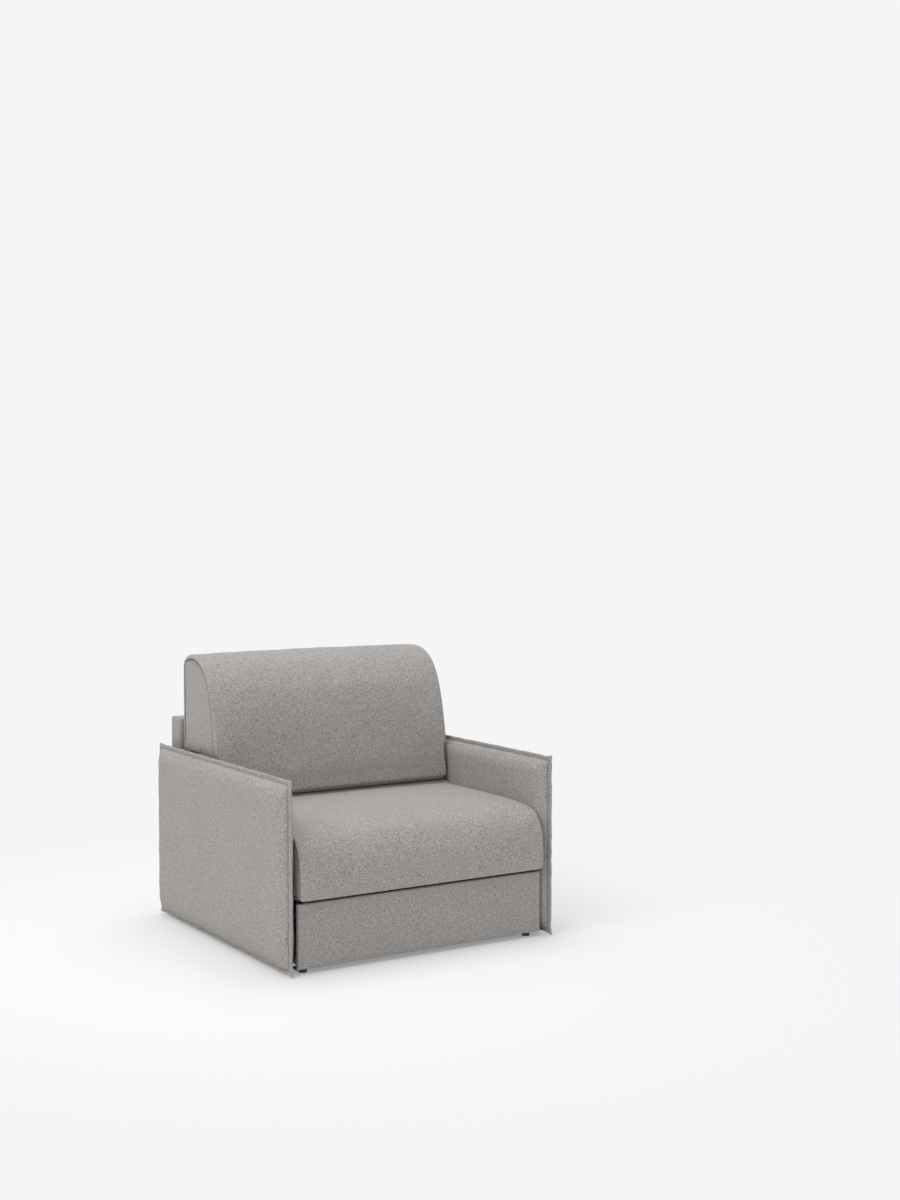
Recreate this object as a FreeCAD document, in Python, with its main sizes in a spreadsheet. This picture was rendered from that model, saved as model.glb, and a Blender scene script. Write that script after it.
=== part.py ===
import FreeCAD, Part
import math
import os
import re
import Sketcher

# Convertible chair bed, millimetres, +Z up. X is across the seat and Y runs from front to rear.
# Formulas measure Y from the front edge of the arms; place() moves the origin to the middle of
# the chair's depth, on the floor.

SIZES = {
    # Layers across the chair, from the cushions out to the arms and in to the frames
    "cushion_half": 410.0,
    "cushion_side_gap": 1.5,
    "link_plate_gap": 3.0,
    "collar_long": 11.0,
    "seat_rail_step": 1.5,
    # Arms
    "arm_thick": 55.0,
    "arm_depth": 936.0,
    "arm_top": 561.5,
    "arm_bottom": 7.0,
    "flange_wide": 12.0,
    "flange_thick": 3.0,
    "pillow_round": 24.0,
    "arm_board_thick": 19.0,
    "board_margin": 30.0,
    # Front plinth
    "plinth_front": 17.0,
    "plinth_thick": 18.0,
    "plinth_bottom": 15.0,
    "plinth_top": 197.0,
    "plinth_padding": 4.0,
    "plinth_round": 3.0,
    # Rear panel
    "rear_panel_gap": 17.0,
    "rear_panel_thick": 68.0,
    "rear_panel_bottom": 15.0,
    "rear_panel_top": 648.0,
    "rear_panel_round": 16.0,
    "rear_board_thick": 18.0,
    "panel_gap": 1.0,
    # Steel base
    "plate_thick": 4.0,
    "plate_low": 46.0,
    "plate_high": 76.0,
    "ear_round": 20.0,
    "bracket_wide": 44.0,
    "bracket_long": 34.0,
    "bracket_low": 11.0,
    "bracket_high": 60.0,
    "foot_radius": 12.5,
    "foot_inset": 32.5,
    "foot_setback": 17.0,
    "bolt_radius": 4.0,
    "bolt_head_radius": 7.0,
    "bolt_head_high": 2.5,
    "bolt_deep": 15.0,
    "bolt_height": 61.0,
    "bolt_front": 85.0,
    "bolt_pitch": 230.0,
    "base_tube_radius": 9.0,
    "base_tube_wall": 1.5,
    "base_tube_back": 812.0,
    # Folding sections, each a rail frame, a wire mesh and a mattress
    "rail_gap": 18.0,
    "rail_high": 16.0,
    "rail_wide": 16.0,
    "rail_wall": 1.5,
    "wire": 3.0,
    "wire_wide": 4.0,
    "mesh_pitch": 84.0,
    "mattress": 78.0,
    "mattress_round": 8.0,
    "fold_front": 55.0,
    "section_start": 5.0,
    "head_frame_end": 700.0,
    "joint_clear": 21.0,
    "back_frame_top": 792.0,
    "back_plane": 828.0,
    "mattress_gap": 3.0,
    "mattress_inset": 2.0,
    "fold_clear": 0.2,
    "back_rail_lift": 18.0,
    # Hinges between the sections
    "hinge_thick": 4.0,
    "hinge_round": 11.0,
    "hinge_plate_lift": 1.5,
    "lug_round": 9.0,
    "seat_lug_length": 49.0,
    "back_lug_length": 62.0,
    "pin_radius": 4.0,
    "pin_head_radius": 6.5,
    "pin_head_high": 1.5,
    "turn_gap": 0.5,
    "side_gap": 0.3,
    "hinge_boss_offset": 28.0,
    "hinge_boss_radius": 7.0,
    # Lifting links
    "link_length": 200.0,
    "link_droop": 25.0,
    "lift_top": 77.0,
    "link_half_wide": 12.0,
    "link_thick": 4.0,
    "shaft_radius": 5.0,
    "shaft_drop": 8.0,
    "collar_radius": 8.0,
    "front_lift": 300.0,
    "rear_lift": 600.0,
    "open_pivot_gap": 0.6,
    # Legs of the open bed
    "leg_wide": 30.0,
    "leg_thick": 4.0,
    "leg_setback": 69.0,
    "leg_stub_radius": 7.5,
    "foot_leg_pivot": 306.0,
    "foot_head_high": 1.0,
    "leg_tip_high": 22.0,
    "leg_floor_gap": 1.0,
    # Cushions
    "cushion_rest": 0.3,
    "seat_overhang": 24.0,
    "seat_side_draw": 5.0,
    "seat_crown": 8.0,
    "seat_rear_gap": 54.0,
    "seat_face_tilt": 99.0,
    "seat_face_radius": 380.0,
    "seat_face_turn": 18.5,
    "seat_round_radius": 89.0,
    "seat_round_turn": 72.0,
    "seat_top_radius": 765.0,
    "back_bottom": 420.0,
    "back_front": 515.0,
    "back_side_draw": 4.0,
    "back_crown": 6.0,
    "back_cover": 4.0,
    "back_face_tilt": 79.3,
    "back_face_length": 268.0,
    "back_shoulder_radius": 367.0,
    "back_shoulder_turn": 20.3,
    "back_round_radius": 133.0,
    "back_round_turn": 55.2,
    "back_top_radius": 250.0,
    "back_rear_radius": 38.0,
    "recess_gap": 0.3,
    "cheek_bottom": 530.0,
    "cap_gap": 4.0,
    "cut_margin": 1.0,
}

doc = FreeCAD.newDocument("chair_bed")
sheet = doc.addObject("Spreadsheet::Sheet", "Sizes")
for row, (alias, number) in enumerate(SIZES.items(), start=1):
    sheet.set(f"A{row}", alias)
    sheet.set(f"B{row}", str(number))
    sheet.setAlias(f"B{row}", alias)
doc.recompute()

# Widths, heights and depths that several pieces share, as formulas in the sheet's words
LINK_INNER = "(cushion_half + cushion_side_gap)"
PLATE_INNER = f"({LINK_INNER} + link_thick + link_plate_gap)"
ARM_INNER = f"({PLATE_INNER} + plate_thick)"
HEAD_HALF = f"({LINK_INNER} - collar_long - turn_gap)"
SEAT_HALF = f"({HEAD_HALF} - seat_rail_step)"
BACK_HALF = f"({SEAT_HALF} + hinge_thick + 2 * turn_gap)"
MATTRESS_HALF = f"({HEAD_HALF} - rail_wide)"
MIDDLE_LEG_INNER = f"({LINK_INNER} + leg_thick + turn_gap + foot_head_high)"
STACK = "(rail_high + wire + mattress)"
FOLD_Z = f"(rail_gap + {STACK})"
RAIL_MID = "(mattress + wire + rail_high / 2)"
SEAT_RAIL_LOW = f"({FOLD_Z} + mattress + wire)"
JOINT_Y = f"(back_plane - {RAIL_MID})"
JOINT_Z = f"({FOLD_Z} + {RAIL_MID})"
SECTION_FRONT = "(fold_front + section_start)"
SEAT_FRAME_END = f"({JOINT_Y} - joint_clear)"
MIDDLE_LEG_Y = f"({JOINT_Y} - leg_setback)"
BACK_CUSHION_REAR = "(back_plane + back_cover)"
REAR_PANEL_FRONT = "(back_plane + rear_panel_gap)"
BACK_RAIL_FRONT = f"(back_plane - {STACK})"
REST_COS = "cos(link_droop * 1 deg)"
REST_SIN = "sin(link_droop * 1 deg)"
SHAFT_Z = "(rail_gap + shaft_drop)"
BASE_Z = f"({SHAFT_Z} + link_length * {REST_SIN})"
FRONT_BASE_Y = f"(front_lift - link_length * {REST_COS})"
REAR_BASE_Y = f"(rear_lift - link_length * {REST_COS})"
SLEEP_Z = f"({FOLD_Z} + link_length * ({REST_SIN} + sin(lift_top * 1 deg)))"
LEG_REACH = f"({SLEEP_Z} - {RAIL_MID} - leg_floor_gap)"
ARM_MID = f"({ARM_INNER} + arm_thick / 2)"
SETBACK = "(arm_depth - seat_overhang) / 2"
FORMULA_WORDS = ("cos", "sin", "deg")


def size(alias):
    """The number that the sheet holds under an alias."""
    return float(sheet.get(alias))


def in_sheet(formula):
    """The same formula with each size's name made a reference to the sheet."""
    def reference(match):
        word = match.group()
        return word if word in FORMULA_WORDS else f"Sizes.{word}"
    return re.sub(r"[a-z_]+", reference, formula)


def bind(target, prop, formula):
    target.setExpression(prop, in_sheet(formula))


def place(piece, label, across="0", along="0", up="0"):
    """Names a sub-part and puts it in the chair's frame."""
    piece.Label = label
    bind(piece, "Placement.Base.x", across)
    bind(piece, "Placement.Base.y", f"{along} - {SETBACK}")
    bind(piece, "Placement.Base.z", up)
    return piece


def block(label, across, along, up):
    """A box between a low and a high formula on each axis."""
    piece = doc.addObject("Part::Box", label)
    for prop, (low, high) in zip(("Length", "Width", "Height"), (across, along, up)):
        bind(piece, prop, f"({high}) - ({low})")
    return place(piece, label, across[0], along[0], up[0])


def rod(label, start, end, radius, along, up):
    """A round bar that lies across the chair, from one X to another."""
    piece = doc.addObject("Part::Cylinder", label)
    piece.Placement = FreeCAD.Placement(FreeCAD.Vector(), FreeCAD.Rotation(FreeCAD.Vector(0, 1, 0), 90))
    bind(piece, "Radius", radius)
    bind(piece, "Height", f"({end}) - ({start})")
    return place(piece, label, start, along, up)


def fused(label, pieces):
    whole = doc.addObject("Part::MultiFuse", label)
    whole.Shapes = pieces
    whole.Label = label
    return whole


def cut(label, base, tool):
    rest = doc.addObject("Part::Cut", label)
    rest.Base = base
    rest.Tool = tool
    rest.Label = label
    return rest


def group(label, pieces):
    """Separate solids that share one node."""
    whole = doc.addObject("Part::Compound", label)
    whole.Links = pieces
    whole.Label = label
    return whole


def mirrored(source, label):
    """The same piece on the other side of the seat."""
    twin = doc.addObject("Part::Mirroring", label)
    twin.Source = source
    twin.Base = FreeCAD.Vector()
    twin.Normal = FreeCAD.Vector(1, 0, 0)
    twin.Label = label
    return twin


def pair(label, make):
    """One node that holds a left and a right copy; make builds the copy on the +X side."""
    right = make(f"{label}_right")
    return group(label, [mirrored(right, f"{label}_left"), right])


def hollow_rail(label, across, along, up, axis):
    """A square steel tube, open at both ends, that runs along one axis (0, 1 or 2)."""
    spans = [across, along, up]
    bore = [(f"{low} + rail_wall", f"{high} - rail_wall") for low, high in spans]
    low, high = spans[axis]
    bore[axis] = (f"{low} - rail_wall", f"{high} + rail_wall")
    return cut(label, block(f"{label}_outside", *spans), block(f"{label}_bore", *bore))


def sketch_on(body, name, role, offset="0"):
    """A sketch on one of the body's origin planes, moved along the plane's normal."""
    sketch = body.newObject("Sketcher::SketchObject", name)
    plane = next(item for item in body.Origin.OriginFeatures if item.Role == role)
    sketch.AttachmentSupport = [(plane, "")]
    sketch.MapMode = "FlatFace"
    bind(sketch, "AttachmentOffset.Base.z", offset)
    return sketch


def pin_point(sketch, where, formulas):
    """Ties a sketch point's two coordinates to formulas."""
    for kind, formula in zip(("DistanceX", "DistanceY"), formulas):
        number = sketch.addConstraint(Sketcher.Constraint(kind, -1, 1, *where, 1.0))
        bind(sketch, f"Constraints[{number}]", formula)


def add_rectangle(sketch, along, up):
    """Closes a rectangle between a low and a high formula on each sketch axis."""
    corners = [FreeCAD.Vector(x, y, 0) for x, y in ((1, 1), (2, 1), (2, 2), (1, 2))]
    first = sketch.GeometryCount
    for turn in range(4):
        sketch.addGeometry(Part.LineSegment(corners[turn], corners[(turn + 1) % 4]), False)
    for turn in range(4):
        sketch.addConstraint(Sketcher.Constraint("Coincident", first + turn, 2, first + (turn + 1) % 4, 1))
        kind = "Vertical" if turn % 2 else "Horizontal"
        sketch.addConstraint(Sketcher.Constraint(kind, first + turn))
    pin_point(sketch, (first, 1), (along[0], up[0]))
    pin_point(sketch, (first + 1, 2), (along[1], up[1]))


def add_circle(sketch, centre, radius):
    first = sketch.GeometryCount
    circle = Part.Circle(FreeCAD.Vector(1, 1, 0), FreeCAD.Vector(0, 0, 1), 1)
    sketch.addGeometry(circle, False)
    number = sketch.addConstraint(Sketcher.Constraint("Radius", first, 1.0))
    bind(sketch, f"Constraints[{number}]", radius)
    pin_point(sketch, (first, 3), centre)


def feature(body, kind, name, sketch, length, reverse=False):
    """Pads or pockets one sketch by a formula's length."""
    step = body.newObject(f"PartDesign::{kind}", name)
    step.Profile = sketch
    step.Reversed = reverse
    bind(step, "Length", length)
    sketch.Visibility = False
    return step


def round_edges(body, name, base, choose, radius):
    """Rounds the edges of the last feature that a test picks."""
    doc.recompute()
    names = [f"Edge{number}" for number, edge in enumerate(base.Shape.Edges, start=1) if choose(edge)]
    step = body.newObject("PartDesign::Fillet", name)
    step.Base = (base, names)
    bind(step, "Radius", radius)
    return step


def flat_in_x(edge):
    return edge.BoundBox.XLength < 1e-6


def any_edge(_edge):
    return True


def strap(label, length, half_wide, thick, eyes, holes):
    """A flat steel bar in the YZ plane that runs from the origin along +Y, thick along +X.

    eyes lists the places along the bar where it ends round, holes the places and radii of holes.
    """
    body = doc.addObject("PartDesign::Body", label)
    flat = sketch_on(body, f"{label}_bar", "YZ_Plane")
    add_rectangle(flat, ("0", length), (f"-{half_wide}", half_wide))
    feature(body, "Pad", f"{label}_bar_pad", flat, thick)
    for number, centre in enumerate(eyes):
        eye = sketch_on(body, f"{label}_eye{number}", "YZ_Plane")
        add_circle(eye, (centre, "0"), half_wide)
        feature(body, "Pad", f"{label}_eye{number}_pad", eye, thick)
    for number, (centre, radius) in enumerate(holes):
        hole = sketch_on(body, f"{label}_hole{number}", "YZ_Plane")
        add_circle(hole, (centre, "0"), radius)
        feature(body, "Pocket", f"{label}_hole{number}_cut", hole, thick, reverse=True)
    return body


def turned(piece, axis, degrees="0"):
    """Turns a piece about an axis through its own origin, before place() moves it."""
    piece.Placement = FreeCAD.Placement(FreeCAD.Vector(), FreeCAD.Rotation(FreeCAD.Vector(*axis), 1))
    bind(piece, "Placement.Rotation.Angle", f"{degrees} * 1 deg")
    return piece


def stepped_pin(label, steps, along, up):
    """A turned pin across the chair from pieces of (start, end, radius)."""
    return fused(label, [rod(f"{label}_step{number}", start, end, radius, along, up)
                         for number, (start, end, radius) in enumerate(steps)])


# Arms: a wooden board inside a padded cover whose two halves meet in a sewn flange

BOLT_PLACES = [f"bolt_front + {number} * bolt_pitch" for number in range(4)]
BOARD_INNER = f"{ARM_MID} - arm_board_thick / 2"
BOARD_OUTER = f"{ARM_MID} + arm_board_thick / 2"
BOARD_LOW = "arm_bottom + board_margin / 2"
BOARD_HIGH = "arm_top - board_margin"
BOLT_END = f"{BOARD_INNER} + bolt_deep"


def bolt_rods(label, start, end, radius):
    return fused(label, [rod(f"{label}{number}", start, end, radius, along, "bolt_height")
                         for number, along in enumerate(BOLT_PLACES)])


def arm_board(label):
    along = ("board_margin", "arm_depth - board_margin")
    board = block(f"{label}_blank", (BOARD_INNER, BOARD_OUTER), along, (BOARD_LOW, BOARD_HIGH))
    drilled = bolt_rods(f"{label}_drilling", BOARD_INNER, BOLT_END, "bolt_radius")
    return cut(label, board, drilled)


def arm_cover(label):
    body = doc.addObject("PartDesign::Body", f"{label}_pillow")
    pillow = sketch_on(body, f"{label}_pillow_outline", "YZ_Plane", ARM_INNER)
    add_rectangle(pillow, ("flange_wide", "arm_depth - flange_wide"),
                  ("arm_bottom + flange_wide", "arm_top - flange_wide"))
    padding = feature(body, "Pad", f"{label}_pillow_pad", pillow, "arm_thick")
    round_edges(body, f"{label}_pillow_rounding", padding, flat_in_x, "pillow_round")
    seam = sketch_on(body, f"{label}_flange_outline", "YZ_Plane", f"{ARM_MID} - flange_thick / 2")
    add_rectangle(seam, ("0", "arm_depth"), ("arm_bottom", "arm_top"))
    feature(body, "Pad", f"{label}_flange", seam, "flange_thick")
    slot = sketch_on(body, f"{label}_slot_outline", "XY_Plane", "arm_bottom")
    add_rectangle(slot, (BOARD_INNER, BOARD_OUTER), ("board_margin", "arm_depth - board_margin"))
    feature(body, "Pocket", f"{label}_slot", slot, f"{BOARD_HIGH} - arm_bottom", reverse=True)
    place(body, f"{label}_pillow")
    return cut(label, body, bolt_rods(f"{label}_drilling", ARM_INNER, BOARD_INNER, "bolt_radius"))


# Front plinth and rear panel: boards in padded covers between the arms

PANEL_HALF = f"({ARM_INNER} - panel_gap)"
PLINTH_REAR = "(plinth_front + plinth_thick)"
REAR_PANEL_REAR = f"({REAR_PANEL_FRONT} + rear_panel_thick)"
REAR_MID = f"({REAR_PANEL_FRONT} + rear_panel_thick / 2)"


def full_width(inset="0"):
    return (f"{inset} - {PANEL_HALF}", f"{PANEL_HALF} - {inset}")


def padded_block(label, across, along, up, radius):
    """A box-shaped pad with every edge rounded."""
    body = doc.addObject("PartDesign::Body", f"{label}_padding")
    base = sketch_on(body, f"{label}_outline", "XY_Plane", up[0])
    add_rectangle(base, across, along)
    padding = feature(body, "Pad", f"{label}_pad", base, f"({up[1]}) - ({up[0]})")
    round_edges(body, f"{label}_rounding", padding, any_edge, radius)
    return place(body, label)


def plinth_board_block(label):
    along = ("plinth_front + plinth_padding", PLINTH_REAR)
    up = ("plinth_bottom + plinth_padding", "plinth_top - plinth_padding")
    return block(label, full_width("plinth_padding"), along, up)


def plinth_cover(label):
    padding = padded_block(f"{label}_whole", full_width(), ("plinth_front", PLINTH_REAR),
                           ("plinth_bottom", "plinth_top"), "plinth_round")
    return cut(label, padding, plinth_board_block(f"{label}_pocket"))


def rear_board_block(label):
    along = (f"{REAR_MID} - rear_board_thick / 2", f"{REAR_MID} + rear_board_thick / 2")
    up = ("rear_panel_bottom", "rear_panel_top - board_margin")
    return block(label, full_width("board_margin"), along, up)


def rear_panel_cover(label):
    padding = padded_block(f"{label}_whole", full_width(), (REAR_PANEL_FRONT, REAR_PANEL_REAR),
                           ("rear_panel_bottom", "rear_panel_top"), "rear_panel_round")
    return cut(label, padding, rear_board_block(f"{label}_pocket"))


# Steel base: side plates with the ears that carry the lifting links, brackets and feet

def side_plate(label):
    across = (PLATE_INNER, ARM_INNER)
    strip = block(f"{label}_strip", across, (PLINTH_REAR, REAR_PANEL_FRONT), ("plate_low", "plate_high"))
    solids = [strip]
    for number, base in enumerate((FRONT_BASE_Y, REAR_BASE_Y)):
        neck = (f"{base} - ear_round", f"{base} + ear_round")
        solids.append(block(f"{label}_neck{number}", across, neck, ("plate_low", BASE_Z)))
        solids.append(rod(f"{label}_ear{number}", *across, "ear_round", base, BASE_Z))
    holes = [rod(f"{label}_hole{number}", *across, "pin_radius", base, BASE_Z)
             for number, base in enumerate((FRONT_BASE_Y, REAR_BASE_Y))]
    holes.append(bolt_rods(f"{label}_bolt_hole", *across, "bolt_radius"))
    return cut(label, fused(f"{label}_blank", solids), fused(f"{label}_holes", holes))


def arm_bolt_row(label):
    heads = bolt_rods(f"{label}_head", f"{PLATE_INNER} - bolt_head_high", PLATE_INNER, "bolt_head_radius")
    shanks = bolt_rods(f"{label}_shank", PLATE_INNER, BOLT_END, "bolt_radius")
    return fused(label, [heads, shanks])


def corner_bracket(label, wall, inward):
    """An angle bracket on the face of a board at wall; inward is its direction along Y."""
    across = (f"{PLATE_INNER} - bracket_wide", PLATE_INNER)
    reach = [f"{wall} {inward} bracket_long", wall]
    web = [f"{wall} {inward} plate_thick", wall]
    if inward == "+":
        reach.reverse()
        web.reverse()
    shelf = block(f"{label}_shelf", across, reach, ("bracket_low", "bracket_low + plate_thick"))
    upright = block(f"{label}_upright", across, web, ("bracket_low", "bracket_high"))
    return fused(label, [shelf, upright])


def foot_disc(label, along):
    piece = doc.addObject("Part::Cylinder", label)
    bind(piece, "Radius", "foot_radius")
    bind(piece, "Height", "bracket_low")
    return place(piece, label, f"{ARM_INNER} - foot_inset", along, "0")


def lift_pin(label, base):
    outer = f"{LINK_INNER} + link_thick + turn_gap"
    steps = [(f"{LINK_INNER} - turn_gap - pin_head_high", f"{LINK_INNER} - turn_gap", "pin_head_radius"),
             (f"{LINK_INNER} - turn_gap", ARM_INNER, "pin_radius"),
             (outer, PLATE_INNER, "pin_head_radius")]
    return stepped_pin(label, steps, base, BASE_Z)


# Lifting links: two on each side, joined in pairs by a shaft that turns in the head section's rails

def lift_link(label, base):
    link = strap(label, "link_length", "link_half_wide", "link_thick", ("0", "link_length"),
                 [("0", "pin_radius + turn_gap")])
    return place(turned(link, (-1, 0, 0), "link_droop"), label, LINK_INNER, base, BASE_Z)


def lift_shaft(label, along):
    shoulder = f"{HEAD_HALF} + turn_gap"
    steps = [(f"-{LINK_INNER}", LINK_INNER, "shaft_radius"),
             (f"-{LINK_INNER}", f"-({shoulder})", "collar_radius"),
             (shoulder, LINK_INNER, "collar_radius")]
    return stepped_pin(label, steps, along, SHAFT_Z)


# Folding sections

def rail_span(half):
    return (f"{half} - rail_wide", half)


def between_rails(half):
    return (f"rail_wide - {half}", f"{half} - rail_wide")


def mesh_sheet(label, half, length):
    """A welded wire mesh as one sheet with open cells, from the origin along +Y, facing +Z."""
    body = doc.addObject("PartDesign::Body", label)
    outline = sketch_on(body, f"{label}_outline", "XY_Plane")
    reach = f"({half} - rail_wide / 2)"
    add_rectangle(outline, (f"-{reach}", reach), ("0", length))
    sheet_pad = feature(body, "Pad", f"{label}_sheet", outline, "wire")
    doc.recompute()
    bounds = sheet_pad.Shape.BoundBox
    columns = int(bounds.XLength // size("mesh_pitch"))
    rows = int(bounds.YLength // size("mesh_pitch"))
    column_pitch = f"(2 * {reach} - wire_wide) / {columns}"
    row_pitch = f"({length} - wire_wide) / {rows}"
    cells = sketch_on(body, f"{label}_cells", "XY_Plane")
    for column in range(columns):
        low = f"wire_wide - {reach} + {column} * {column_pitch}"
        add_rectangle(cells, (low, f"{low} + {column_pitch} - wire_wide"), ("wire_wide", row_pitch))
    first_row = feature(body, "Pocket", f"{label}_first_row", cells, "wire", reverse=True)
    doc.recompute()
    pattern = body.newObject("PartDesign::LinearPattern", f"{label}_rows")
    pattern.Originals = [first_row]
    pattern.Direction = (cells, ["V_Axis"])
    pattern.Occurrences = rows
    bind(pattern, "Length", f"{row_pitch} * {rows - 1}")
    body.Tip = pattern
    return body


def mattress_block(label, along, up):
    return padded_block(label, (f"-{MATTRESS_HALF}", MATTRESS_HALF), along, up, "mattress_round")


def section_rails(name, half, along, up, axis):
    """The two long rails and the two cross rails of one folding section."""
    spans = {1: along, 2: up}
    low, high = spans[axis]

    def long_rail(label):
        return hollow_rail(label, rail_span(half), along, up, axis)

    cross = []
    for number, start in enumerate((low, f"{high} - rail_high")):
        spans[axis] = (start, f"{start} + rail_high")
        cross.append(hollow_rail(f"{name}_cross_rail{number}", between_rails(half), spans[1], spans[2], 0))
    return long_rail, group(f"{name}_cross_rails", cross)


def hinge_pin(label, inner, outer, along, up):
    """A pin with a head at each end; it is fixed to one plate and turns in the other."""
    steps = [(f"{inner} - pin_head_high", inner, "pin_head_radius"),
             (inner, outer, "pin_radius"),
             (outer, f"{outer} + pin_head_high", "pin_head_radius")]
    return stepped_pin(label, steps, along, up)


# Head section: lies at the bottom of the chair and becomes the head of the bed

HEAD_UP = ("rail_gap", "rail_gap + rail_high")
HEAD_ALONG = (SECTION_FRONT, "head_frame_end")
SEAT_PLATE_INNER = f"({HEAD_HALF} + hinge_thick + turn_gap)"


def drilled_head_rail(make_rail):
    def make(label):
        reach = (f"{HEAD_HALF} - rail_wide - turn_gap", f"{HEAD_HALF} + turn_gap")
        bores = fused(f"{label}_bores", [
            rod(f"{label}_front_bore", *reach, "shaft_radius + turn_gap", "front_lift", SHAFT_Z),
            rod(f"{label}_rear_bore", *reach, "shaft_radius + open_pivot_gap", "rear_lift", SHAFT_Z)])
        return cut(label, make_rail(f"{label}_tube"), bores)
    return make


def head_hinge_plate(label):
    """Rises from a head rail to the pivot at the height where the two mattresses meet."""
    foot = "(rail_gap + hinge_plate_lift)"
    rise = f"({FOLD_Z} - {foot})"
    plate = strap(label, rise, "hinge_round", "hinge_thick", (rise,), [(rise, "pin_radius + turn_gap")])
    return place(turned(plate, (1, 0, 0), "90"), label, HEAD_HALF, "fold_front", foot)


# Seat section: lies face down over the head section and carries the seat cushion on its back

SEAT_UP = (SEAT_RAIL_LOW, f"{SEAT_RAIL_LOW} + rail_high")
SEAT_ALONG = (SECTION_FRONT, SEAT_FRAME_END)


def seat_hinge_plate(label):
    """Hangs from a boss on the seat rail and reaches down to the pivot beside the head's plate."""
    plate = strap(f"{label}_arm", STACK, "hinge_round", "hinge_thick", (STACK,), [(STACK, "pin_radius")])
    place(turned(plate, (-1, 0, 0), "90"), f"{label}_arm", SEAT_PLATE_INNER, "fold_front",
          f"{FOLD_Z} + {STACK}")
    across = (SEAT_PLATE_INNER, f"{SEAT_PLATE_INNER} + hinge_thick")
    boss_y = "(fold_front + hinge_boss_offset)"
    toe = block(f"{label}_toe", across, ("fold_front", f"{boss_y} + hinge_boss_radius"), SEAT_UP)
    boss = rod(f"{label}_boss", SEAT_HALF, SEAT_PLATE_INNER, "hinge_boss_radius", boss_y, JOINT_Z)
    return fused(label, [plate, toe, boss])


def seat_lug(label):
    """Carries the seat section's end of the joint with the back section."""
    reach = "seat_lug_length"
    lug = strap(label, reach, "lug_round", "hinge_thick", (reach,), [(reach, "pin_radius")])
    return place(lug, label, SEAT_HALF, f"{JOINT_Y} - {reach}", JOINT_Z)


def middle_leg(label):
    half = "leg_wide / 2"
    bar = block(f"{label}_bar", (MIDDLE_LEG_INNER, f"{MIDDLE_LEG_INNER} + leg_thick"),
                (f"{MIDDLE_LEG_Y} - {half}", f"{MIDDLE_LEG_Y} + {half}"),
                (SEAT_RAIL_LOW, f"{JOINT_Z} + {LEG_REACH} - leg_tip_high"))
    stub = rod(f"{label}_stub", SEAT_HALF, MIDDLE_LEG_INNER, "leg_stub_radius", MIDDLE_LEG_Y, JOINT_Z)
    return fused(label, [bar, stub])


def middle_leg_tip(label):
    half = "leg_wide / 2"
    top = f"({JOINT_Z} + {LEG_REACH})"
    return block(label, (MIDDLE_LEG_INNER, f"{MIDDLE_LEG_INNER} + leg_thick"),
                 (f"{MIDDLE_LEG_Y} - {half}", f"{MIDDLE_LEG_Y} + {half}"),
                 (f"{top} - leg_tip_high", top))


# Back section: stands behind the back cushion and becomes the foot of the bed

BACK_RAIL_LOW = f"({JOINT_Z} + back_rail_lift)"
BACK_ALONG = (BACK_RAIL_FRONT, f"{BACK_RAIL_FRONT} + rail_high")
BACK_UP = (BACK_RAIL_LOW, "back_frame_top")
FOOT_PIVOT_Z = f"({JOINT_Z} + foot_leg_pivot)"


def back_lug(label):
    lug = strap(label, "back_lug_length", "lug_round", "hinge_thick", ("0",), [("0", "pin_radius + turn_gap")])
    return place(turned(lug, (1, 0, 0), "90"), label, BACK_HALF, JOINT_Y, JOINT_Z)


def foot_leg_pin(label):
    face = f"{LINK_INNER} - turn_gap"
    steps = [(BACK_HALF, face, "hinge_boss_radius"),
             (face, f"{LINK_INNER} + leg_thick + turn_gap", "pin_radius"),
             (f"{LINK_INNER} + leg_thick + turn_gap", f"{LINK_INNER} + leg_thick + turn_gap + foot_head_high",
              "pin_head_radius")]
    return stepped_pin(label, steps, JOINT_Y, FOOT_PIVOT_Z)


def foot_leg(label):
    length = f"({LEG_REACH} - leg_tip_high)"
    leg = strap(label, length, "link_half_wide", "leg_thick", ("0",), [("0", "pin_radius + turn_gap")])
    return place(turned(leg, (-1, 0, 0), "90"), label, LINK_INNER, JOINT_Y, FOOT_PIVOT_Z)


def foot_leg_tip(label):
    low = f"({FOOT_PIVOT_Z} - {LEG_REACH})"
    return block(label, (LINK_INNER, f"{LINK_INNER} + leg_thick"),
                 (f"{JOINT_Y} - link_half_wide", f"{JOINT_Y} + link_half_wide"),
                 (low, f"{low} + leg_tip_high"))


# Cushions: one side outline, grown towards the middle of the seat, lofted across it

STATIONS = (-1.0, -0.94, -0.75, -0.4, 0.0, 0.4, 0.75, 0.94, 1.0)


def smooth_run(start, heading, stretches):
    """Corners of a line that runs on with no kink, in the (Y, Z) plane.

    heading is in degrees above +Y. A stretch is (radius, degrees it turns right), or (length, 0)
    for a straight one. An arc's corner is the pair of its middle and its end.
    """
    corners = [start]
    along, up = start
    for reach, turn in stretches:
        angle = math.radians(heading)
        if turn == 0:
            along, up = along + reach * math.cos(angle), up + reach * math.sin(angle)
            corners.append((along, up))
            continue
        centre = (along + reach * math.sin(angle), up - reach * math.cos(angle))
        ends = []
        for share in (0.5, 1.0):
            angle = math.radians(heading - share * turn)
            ends.append((centre[0] - reach * math.sin(angle), centre[1] + reach * math.cos(angle)))
        corners.append(tuple(ends))
        along, up = ends[-1]
        heading -= turn
    return corners


def lowered(corners, base, factor):
    """The same corners drawn down towards a level base."""
    def lift(point):
        return (point[0], base + (point[1] - base) * factor)
    return [tuple(map(lift, step)) if isinstance(step[0], tuple) else lift(step) for step in corners]


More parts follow.
